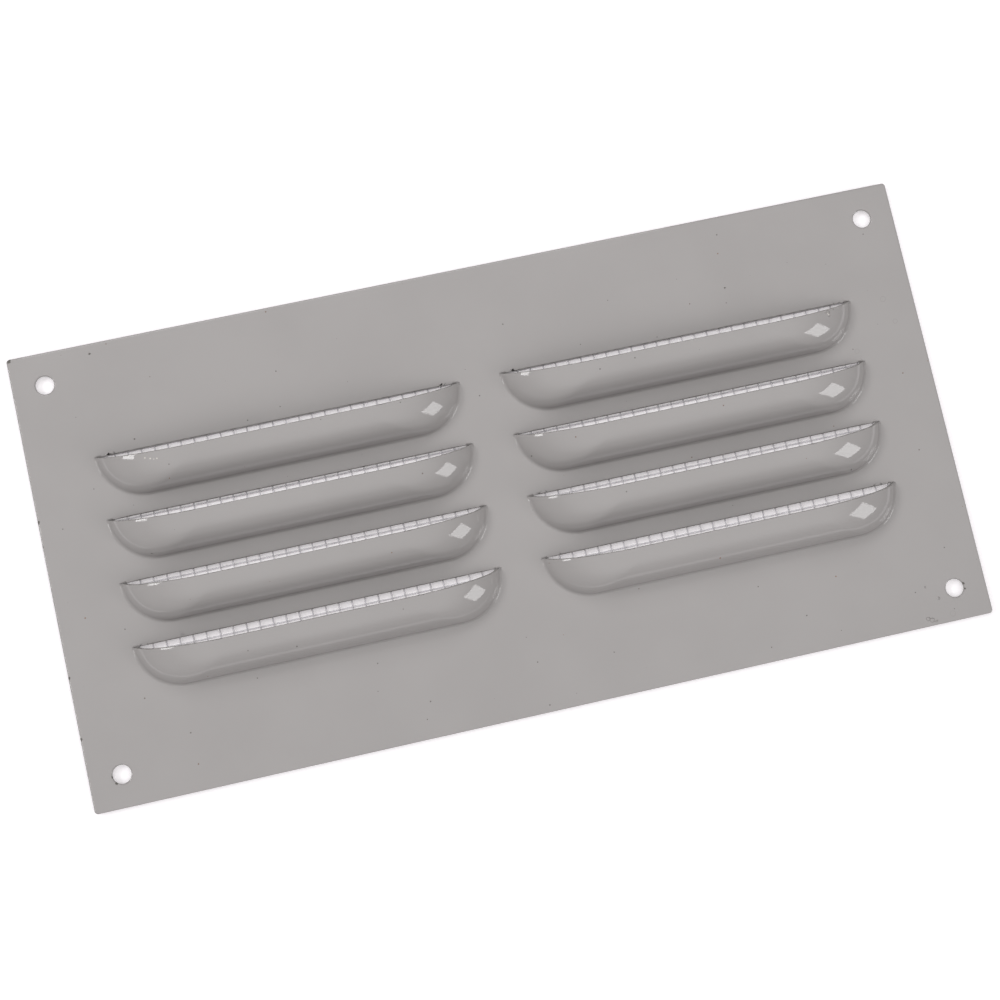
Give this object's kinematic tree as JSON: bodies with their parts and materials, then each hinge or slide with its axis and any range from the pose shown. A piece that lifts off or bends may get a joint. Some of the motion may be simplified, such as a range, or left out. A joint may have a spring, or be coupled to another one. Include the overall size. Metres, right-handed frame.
{
  "type": "ventilation grille",
  "caption": "Flat rectangular louvred ventilation grille of painted pressed sheet, with outward hoods, corner screw holes and a square insect mesh on its back.",
  "frame": {"origin": "centre of the underside, at the lowest face of the mesh on the back", "axes": "+X along the plate's length, +Y towards the edge that the louvre mouths face, +Z out of the front face"},
  "size_m": [0.2, 0.1, 0.0096],
  "materials": {
    "grey_paint": "gloss",
    "mesh_strand": "matte"
  },
  "bodies": {
    "root": {"louvre_plate": "grey_paint", "insect_mesh": "mesh_strand"}
  },
  "joints": []
}
